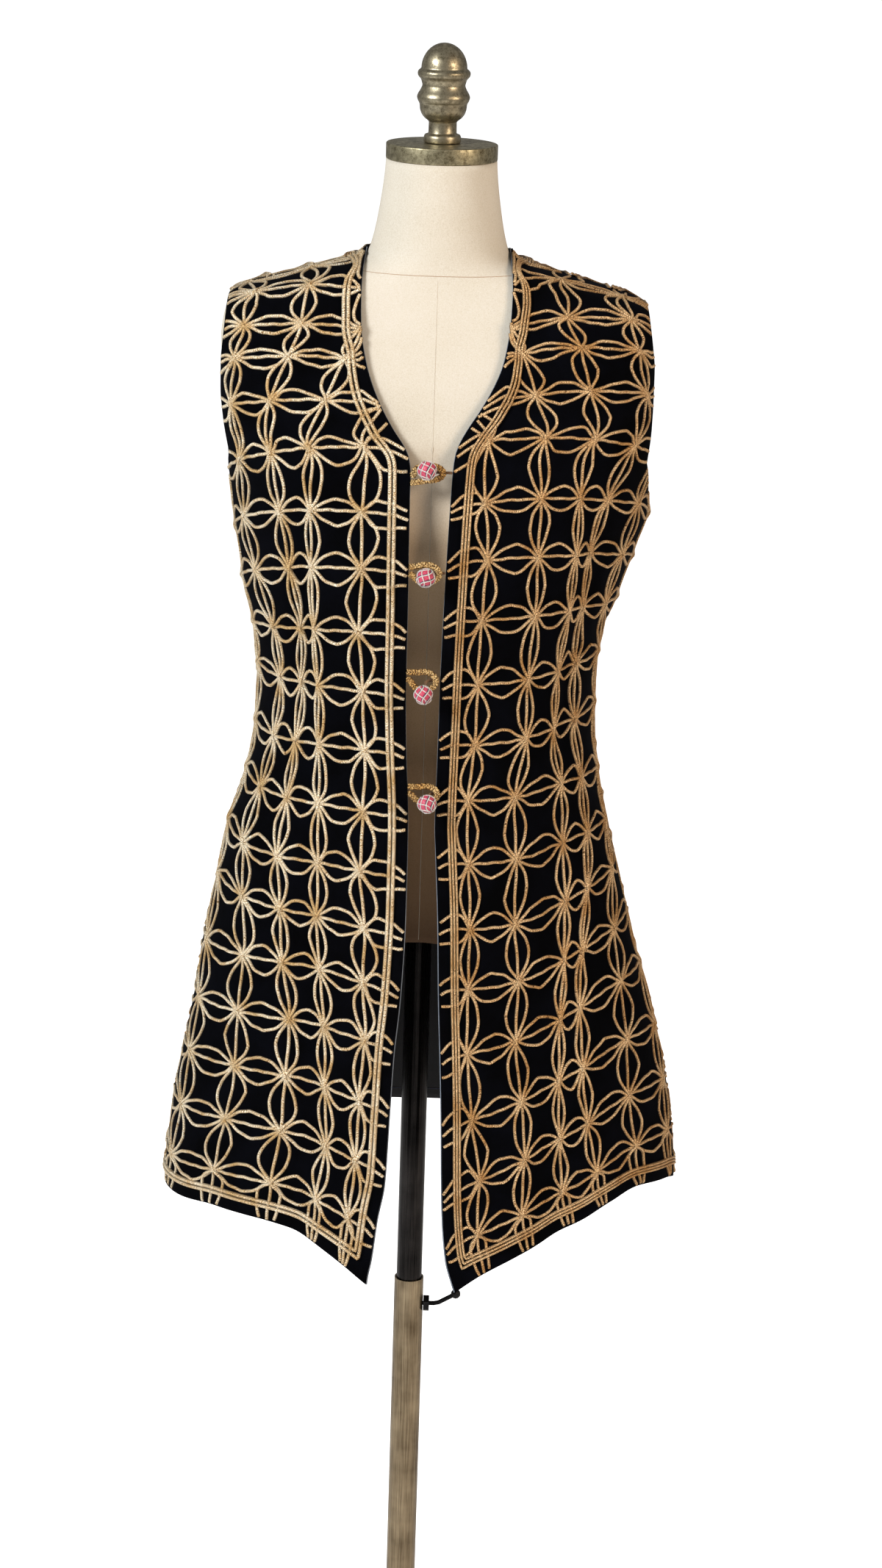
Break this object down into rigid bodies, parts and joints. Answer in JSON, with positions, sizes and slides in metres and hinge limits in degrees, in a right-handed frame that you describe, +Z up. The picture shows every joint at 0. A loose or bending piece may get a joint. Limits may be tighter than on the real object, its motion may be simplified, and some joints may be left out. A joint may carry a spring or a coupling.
{
  "type": "embroidered velvet waistcoat on a dress form stand",
  "caption": "Long sleeveless open-fronted waistcoat of dark velvet with couched gold cord, held by buttons in loops, worn by a limbless dress form on a telescopic pole with a round base.",
  "frame": {"origin": "bottom centre of the stand's base plate, on the pole's axis", "axes": "+Z up along the pole, -Y the way the waistcoat's front faces, +X the wearer's left"},
  "size_m": [0.5157, 0.33, 1.68],
  "materials": {
    "velvet": "near-black navy cotton velvet with a short pile",
    "lining": "navy-grey satin lining",
    "gold_braid": "gold metallic yarn in chain stitch and plait",
    "linen": "cream plain-weave linen cover",
    "button_silk": "pink silk with a pale thread net",
    "antique_brass": "dark antiqued and rubbed",
    "bronzed_steel": "brown bronzed tube",
    "black_steel": "satin black"
  },
  "bodies": {
    "stand": {"base_plate": "bronzed_steel", "lower_tube": "bronzed_steel", "clamp_nut": "black_steel"},
    "clamp": {"clamp_lever": "black_steel"},
    "pole": {"inner_pole": "black_steel"},
    "form": {"form_torso": "linen", "neck_cap": "antique_brass", "finial": "antique_brass", "front_right": "velvet", "front_left": "velvet", "back": "velvet", "front_right_lining": "lining", "front_left_lining": "lining", "back_lining": "lining", "front_right_braid": "gold_braid", "front_left_braid": "gold_braid", "back_hem_braid": "gold_braid", "back_neck_braid": "gold_braid", "button_1": "button_silk", "button_2": "button_silk", "button_3": "button_silk", "button_4": "button_silk", "loop_1": "gold_braid", "loop_2": "gold_braid", "loop_3": "gold_braid", "loop_4": "gold_braid"}
  },
  "joints": [
    {"name": "pole_height", "type": "slide", "parent": "stand", "child": "pole", "axis": [0, 0, 1], "range_m": [-0.12, 0.15]},
    {"name": "form_swivel", "type": "hinge", "parent": "pole", "child": "form", "pos_m": [0, 0, 0.825], "axis": [0, 0, 1], "continuous": true},
    {"name": "clamp_screw", "type": "hinge", "parent": "stand", "child": "clamp", "pos_m": [0, 0, 0.412], "axis": [1, 0, 0], "continuous": true}
  ]
}
